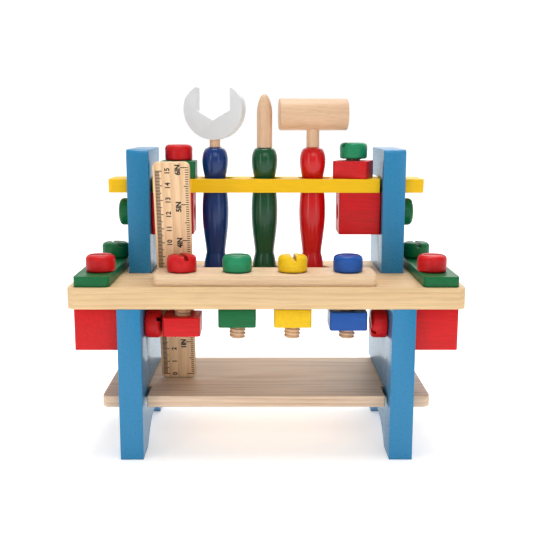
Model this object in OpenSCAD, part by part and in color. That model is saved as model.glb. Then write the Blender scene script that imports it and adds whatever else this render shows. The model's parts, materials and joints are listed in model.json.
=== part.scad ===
// Wooden toy workbench with a tool rack, screw-together bolts and nuts,
// three standing tools and a ruler.
// Millimetres. +Z is up, the bench faces -Y, and the origin is on the ground
// under the middle of the bench.

/* [Bench top] */
// Width of the bench top
top_w = 260; // [258:1:290]
// Depth of the bench top
top_d = 110; // [108:1:114]
// Thickness of the bench top
top_t = 14; // [12:0.5:16]
// Height of the bench top's upper face
top_z = 117; // [112:1:130]
// Corner radius of the bench top
top_corner_r = 6; // [1:0.5:10]

/* [Side panels] */
// Thickness of each side panel
panel_t = 15.5; // [14:0.5:18]
// Clear width between the two side panels
panel_gap = 164; // [162:1:168]
// Depth of the side panels
panel_d = 118; // [116:1:122]
// Height of the two upright posts
post_h = 204; // [200:1:216]
// Depth of each upright post
post_d = 62; // [60:1:66]
// Length of the arch between the front and rear foot
arch_w = 72; // [50:1:80]
// Height of the arch above the ground
arch_h = 15; // [8:1:20]

/* [Shelf] */
// Width of the lower shelf
shelf_w = 222; // [210:1:240]
// Depth of the lower shelf
shelf_d = 95; // [90:1:98]
// Thickness of the lower shelf
shelf_t = 8; // [6:0.5:9]
// Height of the shelf's upper face
shelf_z = 40.5; // [36:0.5:46]
// How far the shelf's front edge stands behind the panels' front edge
shelf_setback = 12; // [10:1:16]

/* [Tool rack rail] */
// Width of the rail
rail_w = 224; // [214:1:240]
// Depth of the rail
rail_d = 32; // [30:1:36]
// Thickness of the rail
rail_t = 9.5; // [8:0.5:10]
// Height of the rail's upper face
rail_z = 183; // [178:1:186]
// How far the rail's front edge stands behind the posts' front edge
rail_setback = 7; // [5:1:9]

/* [Bolt strip] */
// Length of the strip on the bench top
strip_w = 146; // [140:1:160]
// Depth of the strip
strip_d = 30; // [28:1:31]
// Thickness of the strip
strip_t = 7.5; // [6:0.5:9]
// Distance between neighbouring bolts on the strip
bolt_pitch = 37; // [34:1:39]

/* [Bolts and nuts] */
// Diameter of a bolt head
head_d = 19.6; // [17:0.2:21]
// Height of a bolt head
head_h = 11.3; // [8:0.1:12]
// Height of the heads of the two bolts through the posts
post_head_h = 8.8; // [8:0.1:12]
// Outer diameter of the bolt thread
shank_d = 11; // [9:0.5:12]
// Distance between two thread turns
thread_pitch = 2.5; // [2:0.25:3]
// Length of the long shanks, on the strip
long_shank = 45.5; // [42:0.5:48]
// Length of the short shanks, everywhere else
short_shank = 29; // [27:0.5:30]
// Side of a square nut
nut_w = 25; // [23:0.5:27]
// Thickness of a square nut
nut_t = 12.5; // [11:0.5:13]
// Side of a threaded cube
cube_w = 30; // [28:0.5:30.5]
// How far the red nut is wound down from the bench top
red_nut_drop = 8; // [0:0.5:11]
// How far the green nut is wound down from the bench top
green_nut_drop = 2; // [0:0.5:11]
// How far the yellow nut is wound down from the bench top
yellow_nut_drop = 2; // [0:0.5:11]
// How far the blue nut is wound down from the bench top
blue_nut_drop = 4; // [0:0.5:11]

/* [End bars] */
// Width of the green bar at each end of the bench top
bar_w = 23.5; // [22:0.5:26]
// Length of the green bars
bar_l = 104; // [96:1:106]
// Thickness of the green bars
bar_t = 7; // [5:0.5:8]

/* [Tools] */
// Distance between neighbouring tools
tool_pitch = 35; // [34:0.5:38]
// Diameter of the tool holes
tool_hole_d = 23.8; // [22:0.2:26]
// Length of a tool handle
handle_l = 93; // [90:1:96]
// Diameter of the wrench head
wrench_d = 43.5; // [40:0.5:46]
// Width of the wrench jaw
jaw_w = 25.6; // [24:0.2:27]
// Diameter of the mallet head
mallet_d = 22.5; // [20:0.5:24]
// Length of the mallet head
mallet_l = 49; // [44:1:50]
// Diameter of the screwdriver shaft
driver_d = 11; // [9:0.5:11.5]
// Length of the screwdriver shaft above its handle
driver_l = 37.5; // [34:0.5:42]

/* [Ruler] */
// Length of the ruler
ruler_l = 159; // [150:1:170]
// Width of the ruler
ruler_w = 24.5; // [24:0.5:27]
// Thickness of the ruler
ruler_t = 3.5; // [3:0.5:4]
// How far the ruler leans to the front, in degrees
ruler_lean = 11; // [8:1:12]

/* [Hidden] */
$fn = 64;
eps = 0.5;                       // how far a cutting shape runs past the face it cuts
fit = 0.4;                       // play around a part that passes through a hole or notch
shank_r = shank_d / 2;
thread_depth = 1.1;
bolt_hole_r = shank_r + fit;
board_corner_r = 3;              // plan corners of strip, rail and shelf
nut_corner_r = 2;
cube_corner_r = 1.5;

panel_in = panel_gap / 2;
panel_out = panel_in + panel_t;
front_y = -panel_d / 2;
back_y = panel_d / 2;
post_y = back_y - post_d;        // front face of the posts
top_under = top_z - top_t;
notch_play = 1.5;                // open joint between a cross-lapped board and its panel

shelf_y = front_y + shelf_setback;
shelf_lap = 22;                  // depth of the shelf's front notches
shelf_under = shelf_z - shelf_t;

rail_y = post_y + rail_setback;
rail_lap = 12;                   // depth of the rail's front notches
rail_under = rail_z - rail_t;
tool_y = rail_y + rail_d / 2;    // line on which the tools stand
tool_seat = 5;                   // depth of the blind tool holes in the bench top

strip_x = -1;                    // the strip sits a touch left of the middle
strip_y = front_y + 6;
strip_bolt_y = strip_y + strip_d / 2;
strip_top = top_z + strip_t;

bar_y = front_y + 3;
bar_x = top_w / 2 - 16;
bar_bolt_x = bar_x - 2.5;         // the bolts stand a little nearer the panels than mid-bar
bar_bolt_y = [bar_y + 22, bar_y + bar_l - 22];
bar_top = top_z + bar_t;

lower_cube_z = top_under - cube_w / 2;
lower_cube_x = panel_out + cube_w / 2;
upper_cube_z = rail_under - cube_w / 2;
upper_cube_x = panel_in - cube_w / 2;
rail_bolt_x = upper_cube_x - 4;
loose_bolt_lift = 1.5;           // the right rail bolt is not quite screwed down
right_nut_turn = -18;            // its nut sits turned on the rail, in degrees

handle_z = top_z - tool_seat;
handle_top = handle_z + handle_l;
tool_x = [-tool_pitch - 1.9, -1.2, tool_pitch - 1.4];  // the tools stand a little left in their holes
neck_sink = 12;                  // how deep a dowel sits in its handle
socket = 7;                      // how deep a dowel sits in its tool head
wrench_neck_r = 3.8;
mallet_neck_r = 4.6;
wrench_t = 10;
wrench_turn = -14;               // how the wrench and the mallet are turned
mallet_turn = 4;                 // in their holes, in degrees
wrench_z = handle_top + 5.3 + wrench_d / 2;
mallet_z = handle_top + 12 + mallet_d / 2;

ruler_x = -63;
ruler_mid_y = -17;               // where the ruler crosses the middle of the bench top
ruler_z = shelf_z + ruler_t / 2 * sin(ruler_lean);  // it stands on its front lower edge
ruler_rise = top_z - top_t / 2 - ruler_z;
ruler_corner_r = 3.5;
ruler_foot = [ruler_x, ruler_mid_y + ruler_rise * tan(ruler_lean), ruler_z];

// Stations of a turned handle up to its top bead: height as a share of its length, and radius.
handle_profile = [[0, 7.9], [0.05, 8.3], [0.185, 7.1], [0.5, 9.5], [0.76, 7.5],
                  [0.9, 9.3]];
fullness = 0.68;                 // below 1 the bellies and beads swell quickly from the waists
profile_steps = 5;
shoulder = [0.994, 5.4];         // the flat at the very top, below which the top bead rounds over
shoulder_steps = 6;

// ---- shared shapes -------------------------------------------------------

// A rectangle with round corners, centred in X, its near edge on the X axis.
module round_rect(w, d, r) {
    translate([-w / 2, r]) square([w, d - 2 * r]);
    translate([-w / 2 + r, 0]) square([w - 2 * r, d]);
    for (x = [-w / 2 + r, w / 2 - r], y = [r, d - r]) translate([x, y]) circle(r);
}

// A board lying flat, its front edge at y and its upper face at z.
module board(w, d, t, r, y, z) {
    translate([0, y, z - t]) linear_extrude(t) round_rect(w, d, r);
}

// A hole for a bolt along Z, from z_low to z_high.
module bolt_hole(x, y, z_low, z_high) {
    translate([x, y, z_low]) cylinder(r = bolt_hole_r, h = z_high - z_low);
}

// Outline of a bolt head: flat underneath, round at both rims.
function head_outline(r, h, rim) = concat(
    [[0, 0], [r - rim / 2, 0]],
    [for (a = [-90:22.5:0]) [r - rim / 2 + rim / 2 * cos(a), rim / 2 + rim / 2 * sin(a)]],
    [for (a = [0:15:90]) [r - rim + rim * cos(a), h - rim + rim * sin(a)]],
    [[0, h]]);

// Outline of a threaded shank below its head, as rings of the thread's pitch.
function thread_outline(len, turns) = concat(
    [[0, 0], [shank_r, 0]],
    [for (i = [turns:-1:1], s = [0, 1])
        [s == 0 ? shank_r : shank_r - thread_depth,
         -len + (i - (s == 0 ? 0.15 : 0.5)) * thread_pitch]],
    [[shank_r - thread_depth, -len], [0, -len]]);

// A wooden bolt on Z with its head's seat at the origin and its shank below.
module bolt(len, slot_turn, high = head_h) {
    slot_w = 3;
    slot_depth = 3.2;
    head_rim = 3;
    plain = 8;                       // least unthreaded length under the head
    difference() {
        rotate_extrude() polygon(head_outline(head_d / 2, high, head_rim));
        rotate([0, 0, slot_turn]) translate([-head_d, -slot_w / 2, high - slot_depth])
            cube([2 * head_d, slot_w, slot_depth + eps]);
    }
    rotate_extrude() polygon(thread_outline(len, floor((len - plain) / thread_pitch)));
}

// A square nut on Z, its upper face at the origin, with a bore for a shank.
module square_nut(turn = 0) {
    rotate([0, 0, turn]) difference() {
        translate([0, -nut_w / 2, -nut_t]) linear_extrude(nut_t)
            round_rect(nut_w, nut_w, nut_corner_r);
        translate([0, 0, -nut_t - eps]) cylinder(r = bolt_hole_r, h = nut_t + 2 * eps);
    }
}

// A threaded cube centred on the origin: one bore right through along X, and a
// blind one from the top at x = top_bore_x.
module threaded_cube(top_bore_x) {
    wall = 0.6;                      // wood left between the two bores
    blind = cube_w / 2 - bolt_hole_r - wall;
    difference() {
        translate([0, -cube_w / 2, -cube_w / 2]) linear_extrude(cube_w)
            round_rect(cube_w, cube_w, cube_corner_r);
        rotate([0, 90, 0]) translate([0, 0, -cube_w / 2 - eps])
            cylinder(r = bolt_hole_r, h = cube_w + 2 * eps);
        translate([top_bore_x, 0, cube_w / 2 - blind]) cylinder(r = bolt_hole_r, h = blind + eps);
    }
}

// Radius of the handle at share t of the stretch between two of its stations.
function blend(a, b, t) =
    let (s = a < b ? pow(t, fullness) : 1 - pow(1 - t, fullness))
    a + (b - a) * (1 - cos(180 * s)) / 2;

function handle_outline() = concat(
    [[0, 0]],
    [for (i = [0:len(handle_profile) - 2], k = [0:profile_steps - 1])
        let (a = handle_profile[i], b = handle_profile[i + 1], t = k / profile_steps)
            [blend(a[1], b[1], t), handle_l * (a[0] + (b[0] - a[0]) * t)]],
    [for (k = [0:shoulder_steps])
        let (bead = handle_profile[len(handle_profile) - 1], a = 90 * k / shoulder_steps)
            [shoulder[1] + (bead[1] - shoulder[1]) * cos(a),
             handle_l * (bead[0] + (shoulder[0] - bead[0]) * sin(a))]],
    [[shoulder[1] - 0.5, handle_l], [0, handle_l]]);

// A turned handle standing in its hole, drilled at the top for a dowel.
module handle(x, dowel_r) {
    translate([x, tool_y, handle_z]) difference() {
        rotate_extrude() polygon(handle_outline());
        translate([0, 0, handle_l - neck_sink]) cylinder(r = dowel_r, h = neck_sink + eps);
    }
}

// ---- frame ---------------------------------------------------------------

// Side view of a panel: Y across, Z up.
module panel_outline() {
    arch_r = (arch_w * arch_w / 4 + arch_h * arch_h) / (2 * arch_h);
    edge_r = 3;
    difference() {
        union() {
            translate([front_y, 0]) square([panel_d, top_under]);
            translate([post_y, 0]) square([post_d, post_h - edge_r]);
            translate([post_y + edge_r, 0]) square([post_d - 2 * edge_r, post_h]);
            for (y = [post_y + edge_r, back_y - edge_r])
                translate([y, post_h - edge_r]) circle(edge_r);
        }
        translate([0, arch_h - arch_r]) circle(arch_r, $fn = 128);
        translate([shelf_y + shelf_lap, shelf_under])
            square([panel_d, shelf_t + fit]);
        translate([rail_y + rail_lap, rail_under])
            square([post_d, rail_t + fit]);
    }
}

// One side panel. side is -1 for the left one and 1 for the right one.
module side_panel(side) {
    color("steelblue") difference() {
        translate([side > 0 ? panel_in : -panel_out, 0, 0])
            rotate([90, 0, 90]) linear_extrude(panel_t) panel_outline();
        for (p = [[bar_bolt_y[0], lower_cube_z], [tool_y, upper_cube_z]])
            translate([side * (panel_in - eps), p[0], p[1]]) rotate([0, side * 90, 0])
                cylinder(r = bolt_hole_r, h = panel_t + 2 * eps);
    }
}

module left_side_panel() { side_panel(-1); }
module right_side_panel() { side_panel(1); }

module bench_top() {
    slot_w = ruler_t / cos(ruler_lean) + top_t * tan(ruler_lean) + 2 * fit;
    color("burlywood") difference() {
        board(top_w, top_d, top_t, top_corner_r, front_y, top_z);
        for (side = [-1, 1]) {
            translate([side > 0 ? panel_in - fit : -panel_out - fit, post_y - fit, top_under - eps])
                cube([panel_t + 2 * fit, top_d, top_t + 2 * eps]);
            for (y = bar_bolt_y) bolt_hole(side * bar_bolt_x, y, top_under - eps, top_z + eps);
        }
        for (i = [-1.5:1:1.5])
            bolt_hole(strip_x + i * bolt_pitch, strip_bolt_y, top_under - eps, top_z + eps);
        for (i = [-1:1]) translate([i * tool_pitch, tool_y, handle_z])
            cylinder(d = tool_hole_d, h = tool_seat + eps);
        translate([ruler_x - ruler_w / 2 - 1, ruler_mid_y - slot_w / 2, top_under - eps])
            cube([ruler_w + 2, slot_w, top_t + 2 * eps]);
    }
}

module lower_shelf() {
    color("burlywood") difference() {
        board(shelf_w, shelf_d, shelf_t, board_corner_r + 2, shelf_y, shelf_z);
        for (side = [-1, 1])
            translate([side > 0 ? panel_in - notch_play : -panel_out - fit,
                       shelf_y - eps, shelf_under - eps])
                cube([panel_t + notch_play + fit, shelf_lap + eps, shelf_t + 2 * eps]);
    }
}

module tool_rack_rail() {
    color("gold") difference() {
        board(rail_w, rail_d, rail_t, board_corner_r, rail_y, rail_z);
        for (side = [-1, 1]) {
            translate([side > 0 ? panel_in - notch_play : -panel_out - fit,
                       rail_y - eps, rail_under - eps])
                cube([panel_t + notch_play + fit, rail_lap + eps, rail_t + 2 * eps]);
            bolt_hole(side * rail_bolt_x, tool_y, rail_under - eps, rail_z + eps);
        }
        for (i = [-1:1]) translate([i * tool_pitch, tool_y, rail_under - eps])
            cylinder(d = tool_hole_d, h = rail_t + 2 * eps);
    }
}

module bolt_strip() {
    color("wheat") difference() {
        translate([strip_x, 0, 0])
            board(strip_w, strip_d, strip_t, board_corner_r, strip_y, strip_top);
        for (i = [-1.5:1:1.5])
            bolt_hole(strip_x + i * bolt_pitch, strip_bolt_y, top_z - eps, strip_top + eps);
    }
}

// ---- end bars, cubes and fixed nuts ---------------------------------------

module end_bar(side) {
    color("seagreen") difference() {
        translate([side * bar_x, 0, 0]) board(bar_w, bar_l, bar_t, board_corner_r, bar_y, bar_top);
        for (y = bar_bolt_y) bolt_hole(side * bar_bolt_x, y, top_z - eps, bar_top + eps);
    }
}

module lower_cube(side) {
    color("crimson") translate([side * lower_cube_x, bar_bolt_y[0], lower_cube_z])
        threaded_cube(side * (bar_bolt_x - lower_cube_x));
}

module upper_cube(side) {
    color("crimson") translate([side * upper_cube_x, tool_y, upper_cube_z])
        threaded_cube(side * (rail_bolt_x - upper_cube_x));
}

module rail_nut(side, tint, turn) {
    color(tint) translate([side * rail_bolt_x, tool_y, rail_z + nut_t]) square_nut(turn);
}

module bar_nut(side) {
    color("seagreen") translate([side * bar_bolt_x, bar_bolt_y[1], top_under]) square_nut();
}

module left_end_bar() { end_bar(-1); }
module right_end_bar() { end_bar(1); }
module left_lower_cube() { lower_cube(-1); }
module right_lower_cube() { lower_cube(1); }
module left_upper_cube() { upper_cube(-1); }
module right_upper_cube() { upper_cube(1); }
module left_rail_nut() { rail_nut(-1, "seagreen", 0); }
module right_rail_nut() { rail_nut(1, "crimson", right_nut_turn); }
module left_bar_nut() { bar_nut(-1); }
module right_bar_nut() { bar_nut(1); }

// ---- bolts and running nuts on the strip ----------------------------------

// place counts the four bolts from the left, 0 to 3.
module strip_bolt(place, tint, slot_turn) {
    color(tint) translate([strip_x + (place - 1.5) * bolt_pitch, strip_bolt_y, strip_top])
        bolt(long_shank, slot_turn);
}

module strip_nut(place, tint, drop) {
    color(tint) translate([strip_x + (place - 1.5) * bolt_pitch, strip_bolt_y, top_under - drop])
        square_nut();
}

module strip_bolt_red() { strip_bolt(0, "crimson", -65); }
module strip_bolt_green() { strip_bolt(1, "mediumseagreen", 5); }
module strip_bolt_yellow() { strip_bolt(2, "gold", 95); }
module strip_bolt_blue() { strip_bolt(3, "royalblue", 8); }
module strip_nut_red() { strip_nut(0, "crimson", red_nut_drop); }
module strip_nut_green() { strip_nut(1, "seagreen", green_nut_drop); }
module strip_nut_yellow() { strip_nut(2, "gold", yellow_nut_drop); }
module strip_nut_blue() { strip_nut(3, "royalblue", blue_nut_drop); }

// ---- bolts of the end bars, legs, posts and rail --------------------------

// place is 0 for the front bolt of the bar and 1 for the rear one.
module bar_bolt(side, place, tint, slot_turn) {
    color(tint) translate([side * bar_bolt_x, bar_bolt_y[place], bar_top])
        bolt(short_shank, slot_turn);
}

// Head inside the leg, shank out into the lower cube.
module leg_bolt(side) {
    color("crimson") translate([side * panel_in, bar_bolt_y[0], lower_cube_z])
        rotate([0, -side * 90, 0]) bolt(short_shank, 60);
}

// Head outside the post, shank in to the upper cube.
module post_bolt(side) {
    color("seagreen") translate([side * panel_out, tool_y, upper_cube_z])
        rotate([0, side * 90, 0]) bolt(short_shank, 30, post_head_h);
}

// lift is the gap between the bolt's head and the nut on the rail.
module rail_bolt(side, tint, slot_turn, lift) {
    color(tint) translate([side * rail_bolt_x, tool_y, rail_z + nut_t + lift])
        bolt(short_shank, slot_turn);
}

module left_bar_bolt_front() { bar_bolt(-1, 0, "crimson", 5); }
module left_bar_bolt_rear() { bar_bolt(-1, 1, "seagreen", -60); }
module right_bar_bolt_front() { bar_bolt(1, 0, "crimson", -15); }
module right_bar_bolt_rear() { bar_bolt(1, 1, "seagreen", 95); }
module left_leg_bolt() { leg_bolt(-1); }
module right_leg_bolt() { leg_bolt(1); }
module left_post_bolt() { post_bolt(-1); }
module right_post_bolt() { post_bolt(1); }
module left_rail_bolt() { rail_bolt(-1, "crimson", 25, 0); }
module right_rail_bolt() { rail_bolt(1, "seagreen", 35, loose_bolt_lift); }

// ---- tools ---------------------------------------------------------------

module wrench_handle() { color("navy") handle(tool_x[0], wrench_neck_r); }
module screwdriver_handle() { color("darkgreen") handle(tool_x[1], driver_d / 2 - 2); }
module mallet_handle() { color("red") handle(tool_x[2], mallet_neck_r); }

module wrench_neck() {
    low = handle_top - neck_sink;
    high = wrench_z - wrench_d / 2 + socket;
    color("burlywood") translate([tool_x[0], tool_y, low])
        cylinder(r = wrench_neck_r, h = high - low);
}

// Open-jaw head in the XZ plane, turned in its hole like the handle below it.
// A second circle flattens the top of the round head to the jaw's tips.
module wrench_head() {
    seat = 7.1;                  // depth of the V below the jaw's parallel faces
    seat_z = -8.1;               // bottom of the V, below the middle of the head
    crown_r = wrench_d * 0.55;
    crown_z = -5.1;
    color("lightgray") translate([tool_x[0], tool_y, wrench_z]) rotate([0, 0, wrench_turn])
        difference() {
            translate([0, wrench_t / 2, 0]) rotate([90, 0, 0]) linear_extrude(wrench_t)
                difference() {
                    intersection() {
                        circle(d = wrench_d, $fn = 96);
                        translate([0, crown_z]) circle(crown_r, $fn = 96);
                    }
                    polygon([[0, seat_z], [jaw_w / 2, seat_z + seat], [jaw_w / 2, wrench_d],
                             [-jaw_w / 2, wrench_d], [-jaw_w / 2, seat_z + seat]]);
                }
            translate([0, 0, -wrench_d / 2 - eps]) cylinder(r = wrench_neck_r, h = socket + eps);
        }
}

// Radius of the screwdriver's point at share t of its length: a blunt bullet.
function point_radius(t) = driver_d / 2 * sqrt(1 - 0.985 * pow(t, 1.7));

// Dowel that rounds to a blunt point, with a thinner end in the handle.
module screwdriver_shaft() {
    r = driver_d / 2;
    point = 13;
    steps = 6;
    color("burlywood") translate([tool_x[1], tool_y, handle_top]) rotate_extrude()
        polygon(concat([[0, -neck_sink], [r - 2, -neck_sink], [r - 2, 0], [r, 0]],
            [for (i = [0:steps]) [point_radius(i / steps), driver_l - point * (1 - i / steps)]],
            [[0, driver_l]]));
}

module mallet_neck() {
    low = handle_top - neck_sink;
    high = mallet_z - mallet_d / 2 + socket;
    color("burlywood") translate([tool_x[2], tool_y, low])
        cylinder(r = mallet_neck_r, h = high - low);
}

module mallet_head() {
    rim = 0.8;
    r = mallet_d / 2;
    half = mallet_l / 2;
    color("burlywood") translate([tool_x[2], tool_y, mallet_z]) rotate([0, 0, mallet_turn])
        difference() {
            rotate([0, 90, 0]) rotate_extrude()
                polygon(concat([[0, -half]],
                    [for (a = [-90:22.5:0]) [r - rim + rim * cos(a), -half + rim + rim * sin(a)]],
                    [for (a = [0:22.5:90]) [r - rim + rim * cos(a), half - rim + rim * sin(a)]],
                    [[0, half]]));
            translate([0, 0, -r - eps]) cylinder(r = mallet_neck_r, h = socket + eps);
        }
}

// Flat rule standing on the shelf and leaning through the slot in the bench top.
module ruler() {
    color("tan") translate(ruler_foot) rotate([ruler_lean, 0, 0])
        translate([0, ruler_t / 2, 0]) rotate([90, 0, 0]) linear_extrude(ruler_t)
            round_rect(ruler_w, ruler_l, ruler_corner_r);
}

// ---- what is drawn -------------------------------------------------------

left_side_panel();
right_side_panel();
bench_top();
lower_shelf();
tool_rack_rail();
bolt_strip();
left_end_bar();
right_end_bar();
left_lower_cube();
right_lower_cube();
left_upper_cube();
right_upper_cube();
left_rail_nut();
right_rail_nut();
left_bar_nut();
right_bar_nut();
strip_bolt_red();
strip_bolt_green();
strip_bolt_yellow();
strip_bolt_blue();
strip_nut_red();
strip_nut_green();
strip_nut_yellow();
strip_nut_blue();
left_bar_bolt_front();
left_bar_bolt_rear();
right_bar_bolt_front();
right_bar_bolt_rear();
left_leg_bolt();
right_leg_bolt();
left_post_bolt();
right_post_bolt();
left_rail_bolt();
right_rail_bolt();
wrench_handle();
wrench_neck();
wrench_head();
screwdriver_handle();
screwdriver_shaft();
mallet_handle();
mallet_neck();
mallet_head();
ruler();
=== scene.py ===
# %% [markdown]
# # A wooden toy workbench
# A small bench of pine, beech and painted wood: two blue side boards, a top, a shelf and a yellow rack,
# held together with slotted wooden bolts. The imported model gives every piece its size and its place.
# This lesson gives the boards soft edges, cuts real turns of thread on the bolts, turns the handles,
# prints the ruler and mixes the paints and the woods.

# %% Load the frame
import json
import math

import bmesh
import bpy
from mathutils import Matrix, Vector


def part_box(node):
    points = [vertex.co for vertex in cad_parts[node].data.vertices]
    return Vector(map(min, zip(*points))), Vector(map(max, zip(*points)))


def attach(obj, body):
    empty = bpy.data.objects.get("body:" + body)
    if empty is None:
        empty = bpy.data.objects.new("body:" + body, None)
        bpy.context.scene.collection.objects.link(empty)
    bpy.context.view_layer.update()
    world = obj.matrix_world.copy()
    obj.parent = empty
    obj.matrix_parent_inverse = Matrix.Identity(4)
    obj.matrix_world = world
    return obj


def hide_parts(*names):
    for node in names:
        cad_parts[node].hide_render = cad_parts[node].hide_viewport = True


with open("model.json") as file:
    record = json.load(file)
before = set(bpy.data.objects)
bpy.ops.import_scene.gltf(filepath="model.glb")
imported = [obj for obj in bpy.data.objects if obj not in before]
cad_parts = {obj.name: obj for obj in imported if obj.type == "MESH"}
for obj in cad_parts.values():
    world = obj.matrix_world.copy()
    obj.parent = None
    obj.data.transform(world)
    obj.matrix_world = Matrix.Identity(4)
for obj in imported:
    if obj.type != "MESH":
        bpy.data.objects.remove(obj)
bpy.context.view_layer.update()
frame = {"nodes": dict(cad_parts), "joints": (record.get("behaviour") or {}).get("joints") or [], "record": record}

MM = 0.001
BODY_OF = {node: body for body, nodes in frame["record"]["behaviour"]["bodies"].items()
           for node in nodes}
SLOT_OF = {part["node"]: part["material_slot"] for part in frame["record"]["subparts"]}

# %% [markdown]
# ## Camera, light and floor
# The bench is seen almost from the front and a little from above, from about 60 cm away, with a
# longish lens. It stands in a white studio. As a light the room is a gradient, dim in front and bright
# behind, and the bright side makes the boards' inner faces look pale where they are seen at a steep
# angle. To the camera the same wall is an even white from every side. Five soft boxes add shape: a key
# above the camera, a tall strip on each side for the glints on the handles, one overhead and a weak
# one behind. The floor is white paper that glows a little, so the shadows on it stay pale.

# %% Camera
EYE = Vector((-0.00247, -0.58953, 0.22318))
VIEW_TURN, VIEW_DROP, VIEW_ROLL = 0.00459, 0.17136, 0.00111
FOCAL_MM, SENSOR_MM = 56.56, 36

camera_data = bpy.data.cameras.new("camera")
camera_data.lens = FOCAL_MM
camera_data.sensor_width = SENSOR_MM
camera = bpy.data.objects.new("camera", camera_data)
bpy.context.scene.collection.objects.link(camera)
camera.matrix_world = (Matrix.Translation(EYE) @ Matrix.Rotation(-VIEW_TURN, 4, "Z")
                       @ Matrix.Rotation(math.pi / 2 - VIEW_DROP, 4, "X")
                       @ Matrix.Rotation(VIEW_ROLL, 4, "Z"))
bpy.context.scene.camera = camera
print("camera at", tuple(round(c, 3) for c in EYE))

# %% [markdown]
# Three helpers serve everything below. One adds a node to any tree, for a shader or for geometry, with
# its settings and links. One turns a colour as it is written for a screen into the linear one that
# Blender mixes in. The last starts a material.


# %% One way to add a node, to give a colour and to start a material
def add(tree, kind, inputs=(), **settings):
    """Adds a node. inputs maps a socket to a value, a socket, or a node whose first output is meant."""
    node = tree.nodes.new(kind)
    for key, value in settings.items():
        setattr(node, key, value)
    for key, value in dict(inputs).items():
        if isinstance(value, bpy.types.Node):
            value = value.outputs[0]
        if isinstance(value, bpy.types.NodeSocket):
            tree.links.new(value, node.inputs[key])
        else:
            node.inputs[key].default_value = value
    return node


def linear(code):
    """sRGB hex such as 'f2c21b' as a linear colour."""
    values = [int(code[i:i + 2], 16) / 255 for i in (0, 2, 4)]
    return tuple(v / 12.92 if v <= 0.04045 else ((v + 0.055) / 1.055) ** 2.4 for v in values) + (1.0,)


def new_finish(name):
    """A new material, with its node tree and its shader."""
    material = bpy.data.materials.new(name)
    material.use_nodes = True
    return material, material.node_tree, material.node_tree.nodes["Principled BSDF"]


# %% Light and floor
FRONT_GLOW, BACK_GLOW = 0.36, 1.02         # how bright the room is before the bench and behind it
MIDDLE = Vector((0, 0, 0.12))              # what the lamps look at
FLOOR_HALF = 6.0                           # metres
NEAR_SHEET_GLOW, FAR_SHEET_GLOW = 0.36, 0.6  # how strongly the paper glows at the bench and far behind

world = bpy.data.worlds.new("white_room")
world.use_nodes = True
room = world.node_tree
direction = add(room, "ShaderNodeTexCoord").outputs["Generated"]
to_back = add(room, "ShaderNodeSeparateXYZ", {0: direction}).outputs["Y"]
glow = add(room, "ShaderNodeMapRange", {
    "Value": to_back, "From Min": -0.45, "From Max": 0.8, "To Min": FRONT_GLOW, "To Max": BACK_GLOW},
    interpolation_type="SMOOTHSTEP")
# The wall itself is white all round, wherever the camera stands.
seen_directly = add(room, "ShaderNodeLightPath").outputs["Is Camera Ray"]
brightness = add(room, "ShaderNodeMath", {0: glow.outputs[0], 1: seen_directly}, operation="MAXIMUM")
room.links.new(brightness.outputs[0], room.nodes["Background"].inputs["Strength"])
room.nodes["Background"].inputs["Color"].default_value = linear("ffffff")
bpy.context.scene.world = world
bpy.context.scene.view_settings.view_transform = "Standard"


def soft_lamp(name, place, wide, tall, watts):
    """A soft box, so many metres wide and tall, that looks at the middle of the bench."""
    data = bpy.data.lights.new(name, "AREA")
    data.shape, data.size, data.size_y, data.energy = "RECTANGLE", wide, tall, watts
    lamp = bpy.data.objects.new(name, data)
    bpy.context.scene.collection.objects.link(lamp)
    lamp.location = place
    lamp.rotation_euler = (MIDDLE - Vector(place)).to_track_quat("-Z", "Y").to_euler()


soft_lamp("key_lamp", (0.1, -1.2, 0.85), 0.8, 0.5, 3.0)
soft_lamp("left_strip", (-0.8, -1.0, 0.3), 0.2, 1.2, 2.6)
soft_lamp("right_strip", (0.7, -1.05, 0.3), 0.2, 1.2, 1.7)
soft_lamp("top_lamp", (0.0, 0.1, 1.3), 0.6, 0.6, 9.5)
soft_lamp("back_lamp", (0.3, 1.0, 0.8), 0.7, 0.7, 2.2)

floor_mesh = bpy.data.meshes.new("floor")
floor_mesh.from_pydata([(-FLOOR_HALF, -FLOOR_HALF, 0), (FLOOR_HALF, -FLOOR_HALF, 0),
                        (FLOOR_HALF, FLOOR_HALF, 0), (-FLOOR_HALF, FLOOR_HALF, 0)], [], [(0, 1, 2, 3)])
floor = bpy.data.objects.new("floor", floor_mesh)
bpy.context.scene.collection.objects.link(floor)
# Matt white paper, lit a little from below, as on a light table, and more so towards the back.
paper, sheet, sheet_surface = new_finish("matt white paper")
sheet_surface.inputs["Base Color"].default_value = linear("fdfdfd")
sheet_surface.inputs["Roughness"].default_value = 0.95
sheet_surface.inputs["Specular IOR Level"].default_value = 0.1
sheet_place = add(sheet, "ShaderNodeTexCoord").outputs["Object"]
sheet_back = add(sheet, "ShaderNodeSeparateXYZ", {0: sheet_place}).outputs["Y"]
sheet_glow = add(sheet, "ShaderNodeMapRange", {
    "Value": sheet_back, "From Min": 0.0, "From Max": 1.2,
    "To Min": NEAR_SHEET_GLOW, "To Max": FAR_SHEET_GLOW})
sheet.links.new(sheet_glow.outputs[0], sheet_surface.inputs["Emission Strength"])
sheet_surface.inputs["Emission Color"].default_value = linear("ffffff")
floor_mesh.materials.append(paper)
print("stage ready")

# %% [markdown]
# ## Natural wood
# The top, the shelf, the strip, the dowels and the ruler are sawn or turned wood, sanded and left raw.
# What the eye reads is the rings of the log, cut lengthwise: pale early wood and darker late wood with
# one sharp side, drawn out along the board, and over them fine fibres under a millimetre wide. So the
# colour comes from the distance to a pith line that lies outside the board, bent by slow noise. The
# board's ends then show arcs, as real ends do, with no second pattern. Beech adds short dark flecks.

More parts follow.
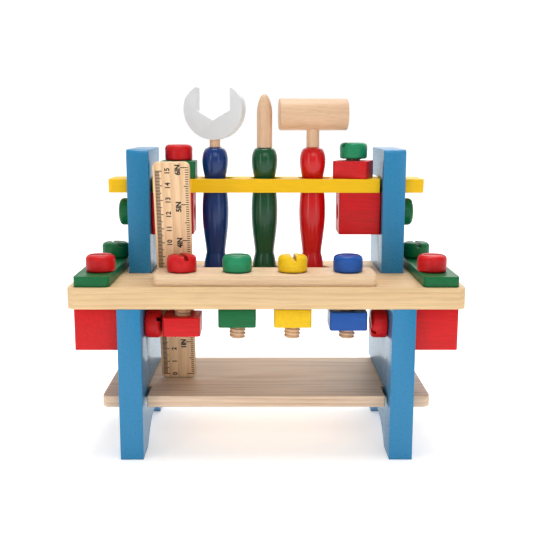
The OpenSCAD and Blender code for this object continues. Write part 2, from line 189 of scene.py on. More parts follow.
# %% Natural wood
RULER_LEAN = math.radians(11)
TURN_TO_X = {"X": (0, 0, 0), "Y": (0, 0, -math.pi / 2), "Z": (0, math.pi / 2, 0),
             "leaning": (-RULER_LEAN, math.pi / 2, 0)}
FIBRE_MM = 0.55
RELIEF = 0.12 * MM                         # how high the fibres stand
# GAP and DARKEST set painted shade: ambient occlusion darkens the colour in narrow gaps between pieces.
GAP = 6 * MM                               # pieces nearer than this shade each other
DARKEST = 0.3                              # what is left of the colour deep in a gap
WOOD_IOR = 1.5                             # for raw and for painted wood alike
# In every Map Range node below, sockets 1 and 2 are the span that comes in, 3 and 4 the one that goes out.


def stretched(tree, place, along_mm, across_mm, detail, roughness=0.5):
    """Noise with features so many millimetres long and wide. The fibres run along X in place."""
    scale = add(tree, "ShaderNodeVectorMath",
                {0: place, 1: (1 / (along_mm * MM), 1 / (across_mm * MM), 1 / (across_mm * MM))},
                operation="MULTIPLY")
    return add(tree, "ShaderNodeTexNoise",
               {"Vector": scale, "Scale": 1.0, "Detail": detail, "Roughness": roughness}).outputs["Fac"]


def wood_place(tree, along):
    """Object coordinates turned so that the fibres run along X."""
    seen = add(tree, "ShaderNodeTexCoord").outputs["Object"]
    return add(tree, "ShaderNodeMapping", {"Vector": seen, "Rotation": TURN_TO_X[along]}).outputs[0]


def worn_edge(tree, radius_mm, ragged):
    """1 on edges and 0 on flats, broken up by noise: what handling rubs first."""
    round_normal = add(tree, "ShaderNodeBevel", {"Radius": radius_mm * MM}, samples=4)
    plain_normal = add(tree, "ShaderNodeNewGeometry").outputs["Normal"]
    same = add(tree, "ShaderNodeVectorMath", {0: round_normal, 1: plain_normal},
               operation="DOT_PRODUCT").outputs["Value"]
    edge = add(tree, "ShaderNodeMapRange", {0: same, 1: 0.98, 2: 0.8, 3: 0.0, 4: 1.0})
    broken = add(tree, "ShaderNodeMapRange", {0: ragged, 1: 0.42, 2: 0.62, 3: 0.0, 4: 1.0})
    return add(tree, "ShaderNodeMath", {0: edge, 1: broken}, operation="MULTIPLY").outputs[0]


def in_the_dark(tree):
    """1 in the open and less inside narrow gaps: painted shade, which darkens the colour where surfaces crowd each
    other.
    """
    open_share = add(tree, "ShaderNodeAmbientOcclusion", {"Distance": GAP}, samples=6).outputs["AO"]
    return add(tree, "ShaderNodeMapRange", {0: open_share, 1: 0.1, 2: 0.5, 3: DARKEST, 4: 1.0})


def natural_wood(name, pale, dark, ring_mm, pith_mm, along="X", contrast=0.6, flecks=0.0, rough=0.46):
    """Raw sanded wood. ring_mm is the width of a year ring, pith_mm where the pith lies across the
    fibres, along the axis that the fibres follow, flecks how strongly beech's dark flecks show."""
    material, tree, surface = new_finish(name)
    place = wood_place(tree, along)
    from_pith = add(tree, "ShaderNodeVectorMath",
                    {0: place, 1: (0, pith_mm[0] * MM, pith_mm[1] * MM)}, operation="SUBTRACT")
    flat = add(tree, "ShaderNodeVectorMath", {0: from_pith, 1: (0, 1, 1)}, operation="MULTIPLY")
    distance = add(tree, "ShaderNodeVectorMath", {0: flat}, operation="LENGTH").outputs["Value"]
    sway = stretched(tree, place, 150, 30, 2.0, 0.4)
    rings = add(tree, "ShaderNodeMath", {0: distance, 1: 1 / (ring_mm * MM)}, operation="MULTIPLY")
    bent = add(tree, "ShaderNodeMath", {0: sway, 1: 2.2, 2: rings}, operation="MULTIPLY_ADD")
    ring = add(tree, "ShaderNodeMath", {0: bent}, operation="FRACT")
    late = add(tree, "ShaderNodeValToRGB", {"Fac": ring})
    late.color_ramp.elements[0].position = 0.2
    late.color_ramp.elements[0].color = (0, 0, 0, 1)
    late.color_ramp.elements[1].position = 0.86
    late.color_ramp.elements[1].color = (1, 1, 1, 1)
    late.color_ramp.elements.new(1.0).color = (0, 0, 0, 1)
    fibre = stretched(tree, place, 18, FIBRE_MM, 3.0, 0.6)
    patch = stretched(tree, place, 70, 9, 3.0)
    strength = add(tree, "ShaderNodeMapRange", {0: patch, 1: 0.3, 2: 0.7, 3: 0.2 * contrast, 4: contrast})
    grain = add(tree, "ShaderNodeMath", {0: late, 1: strength}, operation="MULTIPLY")
    ringed = add(tree, "ShaderNodeMix", {"Factor": grain, 6: linear(pale), 7: linear(dark)},
                 data_type="RGBA").outputs[2]
    lines = add(tree, "ShaderNodeMapRange", {0: fibre, 1: 0.35, 2: 0.68, 3: 1.04, 4: 0.88})
    clouds = add(tree, "ShaderNodeMapRange", {0: patch, 1: 0.3, 2: 0.7, 3: 1.03, 4: 0.95})
    grain_tone = add(tree, "ShaderNodeMath", {0: lines, 1: clouds}, operation="MULTIPLY")
    # shade is the grain's tone times painted shade in narrow gaps.
    shade = add(tree, "ShaderNodeMath", {0: grain_tone, 1: in_the_dark(tree)}, operation="MULTIPLY")
    if flecks:
        spots = stretched(tree, place, 2.6, 0.42, 1.0)
        fleck = add(tree, "ShaderNodeMapRange", {0: spots, 1: 0.66, 2: 0.72, 3: 1.0, 4: 1.0 - flecks})
        shade = add(tree, "ShaderNodeMath", {0: shade, 1: fleck}, operation="MULTIPLY")
    coloured = add(tree, "ShaderNodeVectorMath", {0: ringed, 1: shade}, operation="MULTIPLY")
    rubbed = worn_edge(tree, 0.7, patch)
    handled = add(tree, "ShaderNodeMix", {"Factor": rubbed, 6: coloured.outputs[0], 7: linear(pale)},
                  data_type="RGBA").outputs[2]
    tree.links.new(handled, surface.inputs["Base Color"])
    dullness = add(tree, "ShaderNodeMapRange", {0: fibre, 1: 0.3, 2: 0.7, 3: rough + 0.12, 4: rough - 0.08})
    tree.links.new(dullness.outputs[0], surface.inputs["Roughness"])
    relief = add(tree, "ShaderNodeBump", {"Height": fibre, "Strength": 0.25, "Distance": RELIEF})
    tree.links.new(relief.outputs[0], surface.inputs["Normal"])
    surface.inputs["IOR"].default_value = WOOD_IOR
    surface.inputs["Specular IOR Level"].default_value = 0.5
    return material


# %% [markdown]
# ## Painted wood
# The coloured pieces are beech and pine dipped or sprayed with a thin paint. Through it the eye still
# sees the fibres, as fine lines along the grain, both in relief and in how dark the paint lies. Flat
# pieces are satin and a little patchy, and the turned handles carry a clear gloss coat on top. On
# edges the paint is thinner and rubbed paler. Paint has an IOR of about 1.5.


# %% Painted wood
def painted_wood(name, code, along="X", rough=0.4, coat=0.0, fibres=1.0, worn="f0d9c0", wear=0.35,
                 shine=0.25):
    """Thin paint over wood whose fibres run along an axis. coat is the weight of a clear gloss, fibres
    how strongly the wood shows through, wear how far edges are rubbed to the colour worn."""
    material, tree, surface = new_finish(name)
    place = wood_place(tree, along)
    fibre = stretched(tree, place, 11, 0.7, 4.0, 0.65)
    streak = stretched(tree, place, 45, 2.4, 3.0)
    speck = stretched(tree, place, 1.3, 1.3, 4.0, 0.6)
    lines = add(tree, "ShaderNodeMapRange", {
        0: fibre, 1: 0.32, 2: 0.7, 3: 1.0 + 0.16 * fibres, 4: 1.0 - 0.2 * fibres})
    bands = add(tree, "ShaderNodeMapRange", {
        0: streak, 1: 0.3, 2: 0.7, 3: 1.0 + 0.1 * fibres, 4: 1.0 - 0.12 * fibres})
    grain_tone = add(tree, "ShaderNodeMath", {0: lines, 1: bands}, operation="MULTIPLY")
    # shade is the fibres' tone times painted shade in narrow gaps.
    shade = add(tree, "ShaderNodeMath", {0: grain_tone, 1: in_the_dark(tree)}, operation="MULTIPLY")
    coloured = add(tree, "ShaderNodeVectorMath", {0: linear(code)[:3], 1: shade}, operation="MULTIPLY")
    rubbed = add(tree, "ShaderNodeMath", {0: worn_edge(tree, 0.6, speck), 1: wear}, operation="MULTIPLY")
    handled = add(tree, "ShaderNodeMix", {"Factor": rubbed, 6: coloured.outputs[0], 7: linear(worn)},
                  data_type="RGBA").outputs[2]
    tree.links.new(handled, surface.inputs["Base Color"])
    dullness = add(tree, "ShaderNodeMapRange", {0: speck, 1: 0.3, 2: 0.7, 3: rough - 0.07, 4: rough + 0.09})
    tree.links.new(dullness.outputs[0], surface.inputs["Roughness"])
    height = add(tree, "ShaderNodeMath", {0: speck, 1: 0.35, 2: fibre}, operation="MULTIPLY_ADD")
    relief = add(tree, "ShaderNodeBump", {
        "Height": height, "Strength": 0.04 + 0.2 * fibres, "Distance": RELIEF})
    tree.links.new(relief.outputs[0], surface.inputs["Normal"])
    surface.inputs["IOR"].default_value = WOOD_IOR
    surface.inputs["Specular IOR Level"].default_value = shine
    surface.inputs["Coat Weight"].default_value = coat
    surface.inputs["Coat Roughness"].default_value = 0.12
    return material


# %% [markdown]
# ## One shelf of finishes
# Each slot of the record gets its finish here. A board's fibres run along its length, so a finish is
# mixed once for each direction that it is used in, and kept by slot and direction.

# %% Finishes by slot and grain direction
LACQUER = dict(rough=0.34, coat=0.55, fibres=0.1, wear=0.05, shine=0.15)      # on the turned handles
PAINTS = {
    "blue_painted_wood": ("satin blue paint", dict(
        code="237cab", rough=0.3, coat=0.08, fibres=0.2, worn="7fb4d8", shine=0.32)),
    "yellow_painted_wood": ("satin yellow paint", dict(
        code="eebc00", rough=0.42, fibres=0.25, worn="f7dc8a")),
    "green_painted_wood": ("green paint", dict(
        code="0a6637", rough=0.36, fibres=0.7, worn="5fa07a", wear=0.25)),
    "red_painted_wood": ("red paint", dict(
        code="c90f15", rough=0.38, fibres=0.8, worn="e66a62", wear=0.3)),
    "light_green_painted_wood": ("light green paint", dict(
        code="1a8659", rough=0.34, fibres=0.5, worn="8fcfae")),
    "bolt_yellow_painted_wood": ("yellow paint", dict(
        code="e6bb0c", rough=0.36, fibres=0.5, worn="f9e6a0")),
    "bolt_blue_painted_wood": ("blue paint", dict(
        code="184f9e", rough=0.34, fibres=0.6, worn="8aa6d6")),
    "navy_painted_wood": ("navy lacquer", dict(LACQUER, code="0b3272")),
    "dark_green_painted_wood": ("dark green lacquer", dict(LACQUER, code="084a2a")),
    "handle_red_painted_wood": ("red lacquer", dict(LACQUER, code="cc0a0e")),
    "silver_painted_wood": ("silver grey paint", dict(
        code="d2d3d4", rough=0.5, fibres=0.08, worn="efefef")),
}
WOODS = {
    "pine": ("sanded pine", dict(
        pale="dfbe8e", dark="c89a66", ring_mm=3.4, pith_mm=(40, -60), contrast=0.5)),
    "shelf_wood": ("sanded pine shelf", dict(
        pale="dec2a6", dark="b88e70", ring_mm=2.8, pith_mm=(12, -45), contrast=0.75)),
    "strip_wood": ("sanded beech strip", dict(
        pale="e9cca8", dark="d6ae84", ring_mm=3.2, pith_mm=(-90, 30), contrast=0.6, flecks=0.14)),
    "beech_dowel": ("turned beech", dict(
        pale="dbb592", dark="c4946f", ring_mm=2.6, pith_mm=(-160, 90), contrast=0.35, flecks=0.12)),
    "ruler_wood": ("sanded ruler wood", dict(
        pale="ecc79c", dark="c08a5a", ring_mm=4.6, pith_mm=(-75, -14), contrast=0.75)),
}
mixed = {}


def finish_for(slot, along):
    """The material of a slot for fibres along an axis, mixed the first time it is asked for."""
    if (slot, along) not in mixed:
        recipe, mix = (PAINTS[slot], painted_wood) if slot in PAINTS else (WOODS[slot], natural_wood)
        mixed[slot, along] = mix(f"{recipe[0]}, fibres along {along}", along=along, **recipe[1])
    return mixed[slot, along]


print("finishes", len(PAINTS) + len(WOODS))

# %% [markdown]
# ## Softening sawn shapes
# Boards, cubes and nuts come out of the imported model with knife-sharp edges, and sanded toy parts have
# none. A copy of the node's mesh is welded, its flat faces are joined again, and a bevel of about a
# millimetre rounds every edge that is sharper than the bend of a drilled hole. The bevel keeps the
# flat faces' normals, so broad faces stay flat to the eye. The node itself isn't touched.


# %% Helpers for finished pieces
def place_piece(name, mesh, material, body, nodes=()):
    """Makes the object for a finished mesh, with its finish as its only material, on its body, and hides the nodes
    it stands for.
    """
    mesh.materials.clear()
    mesh.materials.append(material)
    piece = bpy.data.objects.new(name, mesh)
    bpy.context.scene.collection.objects.link(piece)
    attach(piece, body)
    if nodes:
        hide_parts(*nodes)
    return piece


def plain_mesh(holder):
    """The mesh of an object after its modifiers, or of its text. The object itself goes."""
    bpy.context.scene.collection.objects.link(holder)
    graph = bpy.context.evaluated_depsgraph_get()
    mesh = bpy.data.meshes.new_from_object(holder.evaluated_get(graph), depsgraph=graph)
    bpy.data.objects.remove(holder)
    return mesh


def as_mesh(shape, name):
    """The mesh of a bmesh, its faces pointing outwards and shaded smooth."""
    bmesh.ops.recalc_face_normals(shape, faces=shape.faces)
    for face in shape.faces:
        face.smooth = True
    mesh = bpy.data.meshes.new(name)
    shape.to_mesh(mesh)
    shape.free()
    return mesh


def welded_copy(node, keep=lambda place: True, local=Matrix.Identity(4)):
    """A copy of a node's mesh in another frame, welded, with only the points that keep allows."""
    shape = bmesh.new()
    shape.from_mesh(frame["nodes"][node].data)
    shape.transform(local)
    bmesh.ops.remove_doubles(shape, verts=shape.verts, dist=0.002 * MM)
    gone = [point for point in shape.verts if not keep(point.co)]
    bmesh.ops.delete(shape, geom=gone, context="VERTS")
    open_edges = [edge for edge in shape.edges if edge.is_boundary]
    if open_edges:
        bmesh.ops.holes_fill(shape, edges=open_edges, sides=0)
    bmesh.ops.dissolve_limit(shape, angle_limit=math.radians(0.5), verts=shape.verts, edges=shape.edges)
    return as_mesh(shape, node + ".copy")


def softened(mesh, width_mm, sharper_than=35):
    """The mesh with a small round on every edge that is sharper than so many degrees."""
    holder = bpy.data.objects.new("holder", mesh)
    bevel = holder.modifiers.new("bevel", "BEVEL")
    bevel.width, bevel.segments = width_mm * MM, 3
    bevel.limit_method, bevel.angle_limit = "ANGLE", math.radians(sharper_than)
    bevel.harden_normals, bevel.miter_outer, bevel.use_clamp_overlap = True, "MITER_ARC", True
    return plain_mesh(holder)


# %% Boards, cubes and nuts
SAWN = {  # node: edge rounding in millimetres, fibre direction
    "left_side_panel": (1.1, "Z"), "right_side_panel": (1.1, "Z"),
    "bench_top": (0.9, "X"), "lower_shelf": (0.8, "X"), "bolt_strip": (0.8, "X"),
    "tool_rack_rail": (0.7, "X"), "left_end_bar": (0.8, "Y"), "right_end_bar": (0.8, "Y"),
    "left_lower_cube": (0.8, "Y"), "right_lower_cube": (0.8, "X"),
    "left_upper_cube": (0.8, "X"), "right_upper_cube": (0.8, "X"),
    "left_rail_nut": (0.7, "X"), "right_rail_nut": (0.7, "X"),
    "left_bar_nut": (0.7, "X"), "right_bar_nut": (0.7, "X"),
    "strip_nut_red": (0.7, "X"), "strip_nut_green": (0.7, "X"),
    "strip_nut_yellow": (0.7, "Y"), "strip_nut_blue": (0.7, "X"),
    "wrench_head": (0.9, "Z"), "ruler": (0.45, "leaning"),
}
for node, (width_mm, along) in SAWN.items():
    mesh = softened(welded_copy(node), width_mm)
    place_piece(node + ".sanded", mesh, finish_for(SLOT_OF[node], along), BODY_OF[node],
                [node])
    print(node, "sanded", len(mesh.polygons), "faces")

# %% [markdown]
# ## Wooden bolts
# A bolt is turned in one piece: a slotted head dipped in paint, and a raw shank with a coarse thread.
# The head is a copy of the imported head, cut off at its seat and softened. The thread could be a stack
# of rings, but a real thread climbs. So Geometry Nodes take a fine cylinder and push each point in or
# out by where it stands on one endless helix: height over pitch plus its share of a full turn.


# %% The thread as a Geometry Nodes tree
def give_inputs(tree, values):
    """Named inputs for a tree, with their usual values. Whole numbers are counts, the others sizes."""
    for label, value in values.items():
        kind = "NodeSocketInt" if isinstance(value, int) else "NodeSocketFloat"
        tree.interface.new_socket(label, in_out="INPUT", socket_type=kind).default_value = value


def thread_tree(material):
    """A shank on Z from its seat at 0 down to minus its length, with a real helical thread."""
    tree = bpy.data.node_groups.new("wooden_thread", "GeometryNodeTree")
    give_inputs(tree, {"Radius": 5.5 * MM, "Depth": 1.0 * MM, "Pitch": 2.5 * MM, "Length": 29 * MM,
                       "Sunk": 2.0 * MM, "Chamfer": 1.2 * MM, "Rings": 96})
    tree.interface.new_socket("Shank", in_out="OUTPUT", socket_type="NodeSocketGeometry")
    given = add(tree, "NodeGroupInput").outputs

    # A plain rod, let down until only its sunk top stands above the seat.
    whole = add(tree, "ShaderNodeMath", {0: given["Length"], 1: given["Sunk"]}, operation="ADD")
    rod = add(tree, "GeometryNodeMeshCylinder", {
        "Vertices": 48, "Side Segments": given["Rings"], "Radius": given["Radius"], "Depth": whole},
        fill_type="NGON")
    place = add(tree, "ShaderNodeSeparateXYZ", {0: add(tree, "GeometryNodeInputPosition")}).outputs
    half = add(tree, "ShaderNodeMath", {0: whole, 1: 0.5}, operation="MULTIPLY")
    drop = add(tree, "ShaderNodeMath", {0: half, 1: given["Sunk"]}, operation="SUBTRACT")
    height = add(tree, "ShaderNodeMath", {0: place["Z"], 1: drop}, operation="SUBTRACT")

    # How far a point is along the helix: its height over the pitch and its share of a full turn.
    angle = add(tree, "ShaderNodeMath", {0: place["Y"], 1: place["X"]}, operation="ARCTAN2")
    share = add(tree, "ShaderNodeMath", {0: angle, 1: 2 * math.pi}, operation="DIVIDE")
    climbed = add(tree, "ShaderNodeMath", {0: height, 1: given["Pitch"]}, operation="DIVIDE")
    turns = add(tree, "ShaderNodeMath", {0: climbed, 1: share}, operation="ADD")
    phase = add(tree, "ShaderNodeMath", {0: turns}, operation="FRACT")

    # 0 on the crest and 1 in the middle of the groove.
    doubled = add(tree, "ShaderNodeMath", {0: phase, 1: 2.0}, operation="MULTIPLY")
    centred = add(tree, "ShaderNodeMath", {0: doubled, 1: 1.0}, operation="SUBTRACT")
    from_crest = add(tree, "ShaderNodeMath", {0: centred}, operation="ABSOLUTE")
    groove = add(tree, "ShaderNodeMapRange", {0: from_crest, 1: 0.25, 2: 0.95, 3: 0.0, 4: 1.0},
                 interpolation_type="SMOOTHSTEP")
    cut = add(tree, "ShaderNodeMath", {0: groove, 1: given["Depth"]}, operation="MULTIPLY")

    # The chamfer at the lower end.
    above_end = add(tree, "ShaderNodeMath", {0: height, 1: given["Length"]}, operation="ADD")
    in_chamfer = add(tree, "ShaderNodeMath", {0: given["Chamfer"], 1: above_end}, operation="SUBTRACT")
    deep = add(tree, "ShaderNodeMath", {0: in_chamfer, 1: 0.0}, operation="MAXIMUM")
    taper = add(tree, "ShaderNodeMath", {0: deep, 1: 0.8}, operation="MULTIPLY")

    grooved = add(tree, "ShaderNodeMath", {0: given["Radius"], 1: cut}, operation="SUBTRACT")
    radius = add(tree, "ShaderNodeMath", {0: grooved, 1: taper}, operation="SUBTRACT")
    ratio = add(tree, "ShaderNodeMath", {0: radius, 1: given["Radius"]}, operation="DIVIDE")
    new_x = add(tree, "ShaderNodeMath", {0: place["X"], 1: ratio}, operation="MULTIPLY")
    new_y = add(tree, "ShaderNodeMath", {0: place["Y"], 1: ratio}, operation="MULTIPLY")
    new_place = add(tree, "ShaderNodeCombineXYZ", {"X": new_x, "Y": new_y, "Z": height})
    moved = add(tree, "GeometryNodeSetPosition", {"Geometry": rod, "Position": new_place})
    solid = add(tree, "GeometryNodeRealizeInstances", {0: moved})
    dressed = add(tree, "GeometryNodeSetMaterial", {"Geometry": solid, "Material": material})
    add(tree, "NodeGroupOutput", {0: dressed})
    return tree


def run_tree(tree, values):
    """The geometry of a tree as a plain mesh, with its named inputs set by identifier."""
    holder = bpy.data.objects.new("holder", bpy.data.meshes.new("holder"))
    modifier = holder.modifiers.new("tree", "NODES")
    modifier.node_group = tree
    for item in tree.interface.items_tree:
        if item.in_out == "INPUT" and item.name in values:
            modifier[item.identifier] = values[item.name]
    return plain_mesh(holder)


# %% Heads and shanks
USUAL_HEAD_MM = 11.3
LOW_HEAD_MM = {"left_post_bolt": 8.8, "right_post_bolt": 8.8}
# Which way a head looks along its axis; the others look up Z.
HEAD_WAY = {"left_leg_bolt": "X", "right_leg_bolt": "-X", "left_post_bolt": "-X", "right_post_bolt": "X"}
THREAD_PITCH = 2.5 * MM
RINGS_PER_TURN = 8
dowel_for = {way: finish_for("beech_dowel", way) for way in "XZ"}
threads = {way: thread_tree(dowel_for[way]) for way in "XZ"}


def bolt_frame(node):
    """The matrix from a bolt's own frame, seat at 0 and head up Z, to the bench, the length of its
    shank, and the letter of its axis."""
    low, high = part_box(node)
    way = HEAD_WAY.get(node, "Z")
    head_high = LOW_HEAD_MM.get(node, USUAL_HEAD_MM) * MM
    axis = "XYZ".index(way[-1])
    seat = (low + high) / 2
    seat[axis] = low[axis] + head_high if way[0] == "-" else high[axis] - head_high
    direction = Vector([0, 0, 0])
    direction[axis] = -1 if way[0] == "-" else 1
    return (Matrix.Translation(seat) @ direction.to_track_quat("Z", "Y").to_matrix().to_4x4(),
            high[axis] - low[axis] - head_high, way[-1])


bolts = [node for node in BODY_OF if "bolt" in node and node != "bolt_strip"]
for node in bolts:
    to_bench, shank_length, way = bolt_frame(node)
    head = softened(welded_copy(node, lambda point: point.z > -0.02 * MM, to_bench.inverted()), 0.35, 50)
    head.transform(to_bench)
    paint = finish_for(SLOT_OF[node], "X" if way == "Z" else "Z")
    place_piece(node + ".head", head, paint, BODY_OF[node], [node])
    shank = run_tree(threads[way], {"Length": shank_length,
                                    "Rings": round(shank_length / THREAD_PITCH * RINGS_PER_TURN)})
    shank.transform(to_bench)
    shank.set_sharp_from_angle(angle=math.radians(60))
    place_piece(node + ".shank", shank, dowel_for[way], BODY_OF[node], [node])
print("bolts", len(bolts), "faces in the last shank", len(shank.polygons))

# %% [markdown]
# ## Turned pieces
# Handles, dowels, the screwdriver's point and the mallet's head come off a lathe. A lathe needs only
# an outline: radius against height. The outline of a handle passes through a few stations, bead,
# waist, belly, neck and top bead, with smooth bends between them. It is spun in code with closed
# poles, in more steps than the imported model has, so that the outline stays round in close views.


# %% A lathe
def turned(outline_mm, around=72):
    """A closed solid of revolution on Z from (radius, height) points that start and end on the axis."""
    shape = bmesh.new()
    turns = [2 * math.pi * k / around for k in range(around)]
    rings = []
    for radius_mm, height_mm in outline_mm:
        radius, height = radius_mm * MM, height_mm * MM
        if radius_mm < 1e-6:
            rings.append([shape.verts.new((0, 0, height))])
            continue
        rings.append([shape.verts.new((radius * math.cos(turn), radius * math.sin(turn), height))
                      for turn in turns])
    for low, high in zip(rings, rings[1:]):
        for k in range(around):
            after = (k + 1) % around
            corners = [low[k % len(low)], low[after % len(low)],
                       high[after % len(high)], high[k % len(high)]]
            shape.faces.new(list(dict.fromkeys(corners)))
    mesh = as_mesh(shape, "turned")
    mesh.set_sharp_from_angle(angle=math.radians(40))
    return mesh


def corner(radius, height, rim, first, steps=5):
    """Points round a rim. first is the angle of the first point, and the arc covers a quarter turn."""
    return [(radius - rim + rim * math.cos(math.radians(first + 90 * k / steps)),
             height + rim * math.sin(math.radians(first + 90 * k / steps))) for k in range(steps + 1)]


# %% Handles
# Each station is its height as a share of the handle's length, and its radius in millimetres.
STATIONS = [(0.0, 8.0), (0.06, 8.7), (0.18, 6.95), (0.5, 9.5), (0.76, 7.5), (0.9, 9.3)]
FULLNESS = 0.68                            # below 1 the bellies and beads swell quickly from the waists
SHOULDER = (0.994, 5.4)                    # the flat at the very top, after the top bead
HANDLE_STEPS = 12


def handle_outline(length):
    """Cosine bends between the stations, and a quarter of an ellipse from the top bead to the flat."""
    points = [(0, 0), (STATIONS[0][1] - 0.6, 0)]
    for (share_a, radius_a), (share_b, radius_b) in zip(STATIONS, STATIONS[1:]):
        for k in range(HANDLE_STEPS):
            t = k / HANDLE_STEPS
            eased = t ** FULLNESS if radius_a < radius_b else 1 - (1 - t) ** FULLNESS
            bend = (1 - math.cos(math.pi * eased)) / 2
            points.append((radius_a + (radius_b - radius_a) * bend,
                           length * (share_a + (share_b - share_a) * t)))
    points[2] = (STATIONS[0][1] - 0.15, 0.3)          # the rim of the foot, rounded off
    (bead_share, bead_radius), (top_share, top_radius) = STATIONS[-1], SHOULDER
    for k in range(HANDLE_STEPS + 1):
        turn = math.pi / 2 * k / HANDLE_STEPS
        points.append((top_radius + (bead_radius - top_radius) * math.cos(turn),
                       length * (bead_share + (top_share - bead_share) * math.sin(turn))))
    return points + [(top_radius - 0.5, length), (0, length)]


def on_node(node, mesh, lift=0.0, along="Z"):
    """Puts a turned mesh on the axis of a node, its start at the node's lowest end, and places it."""
    low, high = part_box(node)
    mesh.transform(Matrix.Translation(((low.x + high.x) / 2, (low.y + high.y) / 2, low.z + lift)))
    return place_piece(node + ".turned", mesh, finish_for(SLOT_OF[node], along), BODY_OF[node],
                       [node])


def node_height(node):
    low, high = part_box(node)
    return (high.z - low.z) / MM


for node in ("wrench_handle", "screwdriver_handle", "mallet_handle"):
    piece = on_node(node, turned(handle_outline(node_height(node))))
    print(node, "turned", len(piece.data.polygons), "faces")

# %% Dowels
for node in ("wrench_neck", "mallet_neck"):
    low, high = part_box(node)
    radius, length = (high.x - low.x) / 2 / MM, node_height(node)
    on_node(node, turned([(0, 0)] + corner(radius, 0.3, 0.3, -90) + corner(radius, length - 0.3, 0.3, 0)
                         + [(0, length)], 48))

# %% Screwdriver shaft, rounded to a blunt point
low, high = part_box("screwdriver_shaft")
shaft_radius, shaft_length = (high.x - low.x) / 2 / MM, node_height("screwdriver_shaft")
SUNK, TENON = 12, 3.5                      # length and radius of the end in the handle, millimetres
POINT, POINT_STEPS = 13, 20                # length of the point, and the steps along it
tip = [(shaft_radius * math.sqrt(1 - 0.985 * (k / POINT_STEPS) ** 1.7),
        shaft_length - POINT * (1 - k / POINT_STEPS)) for k in range(POINT_STEPS + 1)]
on_node("screwdriver_shaft", turned([(0, 0), (TENON, 0), (TENON, SUNK - 0.2), (shaft_radius, SUNK - 0.2)]
                                    + tip + [(tip[-1][0] * 0.5, shaft_length), (0, shaft_length)], 64))

# %% Mallet head, a short thick dowel across its handle
MALLET_LONG, MALLET_RADIUS, MALLET_RIM, MALLET_TURN = 49.0, 11.25, 0.9, 4.0
mallet_low, mallet_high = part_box("mallet_head")
mallet = turned([(0, 0)] + corner(MALLET_RADIUS, MALLET_RIM, MALLET_RIM, -90)
                + corner(MALLET_RADIUS, MALLET_LONG - MALLET_RIM, MALLET_RIM, 0)
                + [(0, MALLET_LONG)], 96)
mallet.transform(Matrix.Translation((mallet_low + mallet_high) / 2)
                 @ Matrix.Rotation(math.radians(MALLET_TURN), 4, "Z")
                 @ Matrix.Rotation(math.pi / 2, 4, "Y")
                 @ Matrix.Translation((0, 0, -MALLET_LONG / 2 * MM)))
place_piece("mallet_head.turned", mallet, finish_for("beech_dowel", "X"), "mallet",
            ["mallet_head"])
print("mallet head", [round(c / MM, 1) for c in mallet_high - mallet_low], "mm")

# %% [markdown]
# ## The printed scale
# The ruler carries centimetres along its left edge and inches along its right, printed in black and
# read from the side. Marks repeat by a rule, so Geometry Nodes lay them on a line of points: every
# tenth is long, every fifth is middling. The numbers are text made into mesh. Ink has next to no
# thickness, so all of it stands three hundredths of a millimetre proud of the wood.


# %% The scale as a Geometry Nodes tree
def scale_tree(material):
    """Marks on Y from 0, growing along X from 0: long, middle and short ones by their count."""
    tree = bpy.data.node_groups.new("printed_scale", "GeometryNodeTree")
    give_inputs(tree, {"Spacing": 1 * MM, "Short": 3.0 * MM, "Middle": 3.8 * MM, "Long": 4.6 * MM,
                       "Width": 0.62 * MM, "Long Width": 0.62 * MM, "Height": 0.06 * MM,
                       "Count": 151, "Long Every": 10, "Middle Every": 5})
    tree.interface.new_socket("Marks", in_out="OUTPUT", socket_type="NodeSocketGeometry")
    given = add(tree, "NodeGroupInput").outputs

    # Is this mark one of the long ones, or of the middle ones? Counted from 0.
    number = add(tree, "GeometryNodeInputIndex")
    after_long = add(tree, "ShaderNodeMath", {0: number, 1: given["Long Every"]}, operation="MODULO")
    is_long = add(tree, "ShaderNodeMath", {0: after_long, 1: 0.5}, operation="LESS_THAN")
    after_middle = add(tree, "ShaderNodeMath", {0: number, 1: given["Middle Every"]}, operation="MODULO")
    is_middle = add(tree, "ShaderNodeMath", {0: after_middle, 1: 0.5}, operation="LESS_THAN")

    shorter = add(tree, "GeometryNodeSwitch", {
        "Switch": is_middle, "False": given["Short"], "True": given["Middle"]}, input_type="FLOAT")
    length = add(tree, "GeometryNodeSwitch", {
        "Switch": is_long, "False": shorter, "True": given["Long"]}, input_type="FLOAT")
    width = add(tree, "GeometryNodeSwitch", {
        "Switch": is_long, "False": given["Width"], "True": given["Long Width"]}, input_type="FLOAT")
    size = add(tree, "ShaderNodeCombineXYZ", {"X": length, "Y": width, "Z": given["Height"]})

    step = add(tree, "ShaderNodeCombineXYZ", {"Y": given["Spacing"]})
    line = add(tree, "GeometryNodeMeshLine", {"Count": given["Count"], "Offset": step})
    cube = add(tree, "GeometryNodeMeshCube", {"Size": (1, 1, 1)})
    shifted = add(tree, "GeometryNodeTransform", {"Geometry": cube, "Translation": (0.5, 0, 0)})
    marks = add(tree, "GeometryNodeInstanceOnPoints", {
        "Points": line, "Instance": shifted, "Scale": size})
    real = add(tree, "GeometryNodeRealizeInstances", {0: marks})
    inked = add(tree, "GeometryNodeSetMaterial", {"Geometry": real, "Material": material})
    add(tree, "NodeGroupOutput", {0: inked})
    return tree


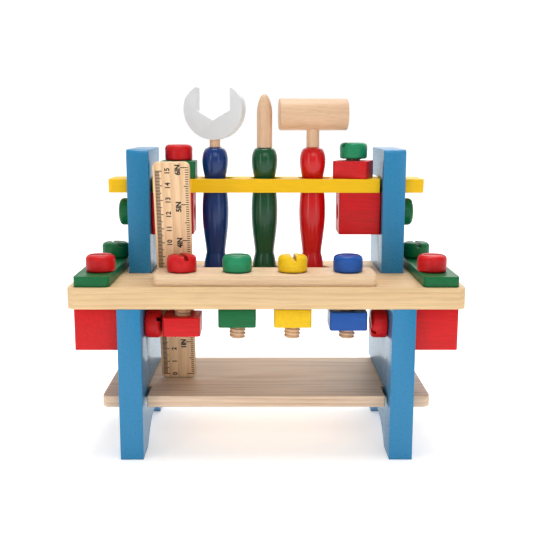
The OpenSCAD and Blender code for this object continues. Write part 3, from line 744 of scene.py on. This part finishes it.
# %% Ink
# Matt black printing ink on wood: never quite black, and thinner where the fibres stand up.
ink, ink_tree, ink_surface = new_finish("matt black printing ink")
ink_grain = stretched(ink_tree, wood_place(ink_tree, "Z"), 6, 0.4, 3.0, 0.6)
ink_thin = add(ink_tree, "ShaderNodeMapRange", {0: ink_grain, 1: 0.45, 2: 0.75, 3: 0, 4: 0.4})
ink_shade = add(ink_tree, "ShaderNodeMix", {"Factor": ink_thin, 6: linear("15110f"), 7: linear("4a3524")},
                data_type="RGBA")
ink_tree.links.new(ink_shade.outputs[2], ink_surface.inputs["Base Color"])
ink_dullness = add(ink_tree, "ShaderNodeMapRange", {0: ink_grain, 1: 0.3, 2: 0.7, 3: 0.5, 4: 0.7})
ink_tree.links.new(ink_dullness.outputs[0], ink_surface.inputs["Roughness"])
ink_relief = add(ink_tree, "ShaderNodeBump", {
    "Height": ink_grain, "Strength": 0.2, "Distance": 0.05 * MM})
ink_tree.links.new(ink_relief.outputs[0], ink_surface.inputs["Normal"])

# %% Ruler frame, marks and numbers
ZERO = 3.2 * MM                            # the zero marks above the ruler's lower end
INCH = 25.4 * MM
CM_MARGIN, INCH_MARGIN = 1.5 * MM, 1.1 * MM            # from the edges to where the marks start
ACROSS = Vector((1, 0, 0))
ruler_up = Vector(next(j for j in frame["joints"] if j["name"] == "ruler_lift")["axis"]).normalized()
ruler_out = ACROSS.cross(ruler_up)                     # out of the printed face, to the front
points = [v.co for v in frame["nodes"]["ruler"].data.vertices]
ruler_left = min(p.x for p in points)
ruler_wide = max(p.x for p in points) - ruler_left
ruler_corner = (ACROSS * ruler_left + ruler_up * min(p.dot(ruler_up) for p in points)
                + ruler_out * max(p.dot(ruler_out) for p in points))
to_ruler = (Matrix.Translation(ruler_corner)
            @ Matrix((ACROSS, ruler_up, ruler_out)).transposed().to_4x4())

marks = scale_tree(ink)
centimetres = run_tree(marks, {"Count": 151})
centimetres.transform(Matrix.Translation((CM_MARGIN, ZERO, 0)))
inches = run_tree(marks, {"Count": 97, "Spacing": INCH / 16, "Long Every": 16, "Middle Every": 8,
                          "Short": 2.0 * MM, "Middle": 3.0 * MM, "Long": 5.2 * MM,
                          "Long Width": 0.6 * MM})
inches.transform(Matrix.Translation((ruler_wide - INCH_MARGIN, ZERO, 0))
                 @ Matrix.Rotation(math.pi, 4, "Y"))
print_parts = [centimetres, inches]


def printed(text, size_mm, x_mm, y, bold_mm):
    """A number that reads upward, as a thin closed mesh centred on a point of the ruler's face."""
    curve = bpy.data.curves.new("number", "FONT")
    curve.body, curve.size, curve.extrude, curve.offset = text, size_mm * MM, 0.03 * MM, bold_mm * MM
    curve.align_x = curve.align_y = "CENTER"
    curve.resolution_u = 3
    mesh = plain_mesh(bpy.data.objects.new("number", curve))
    mesh.transform(Matrix.Translation((x_mm * MM, y, 0)) @ Matrix.Rotation(math.pi / 2, 4, "Z"))
    return mesh


print_parts += [printed(str(n), 4.6, 9.7, ZERO + n * 10 * MM, 0.15) for n in range(16)]
print_parts += [printed(f"{n}IN", 4.7, 16.6, ZERO + n * INCH - 1.5 * MM, 0.25) for n in range(1, 7)]
whole = bmesh.new()
for part in print_parts:
    whole.from_mesh(part)
whole.transform(to_ruler)
bmesh.ops.remove_doubles(whole, verts=whole.verts, dist=0.001 * MM)
bmesh.ops.recalc_face_normals(whole, faces=whole.faces)
print_mesh = bpy.data.meshes.new("ruler_print")
whole.to_mesh(print_mesh)
whole.free()
place_piece("ruler_print", print_mesh, ink, "ruler")
print("printed marks and numbers", len(print_mesh.polygons), "faces")
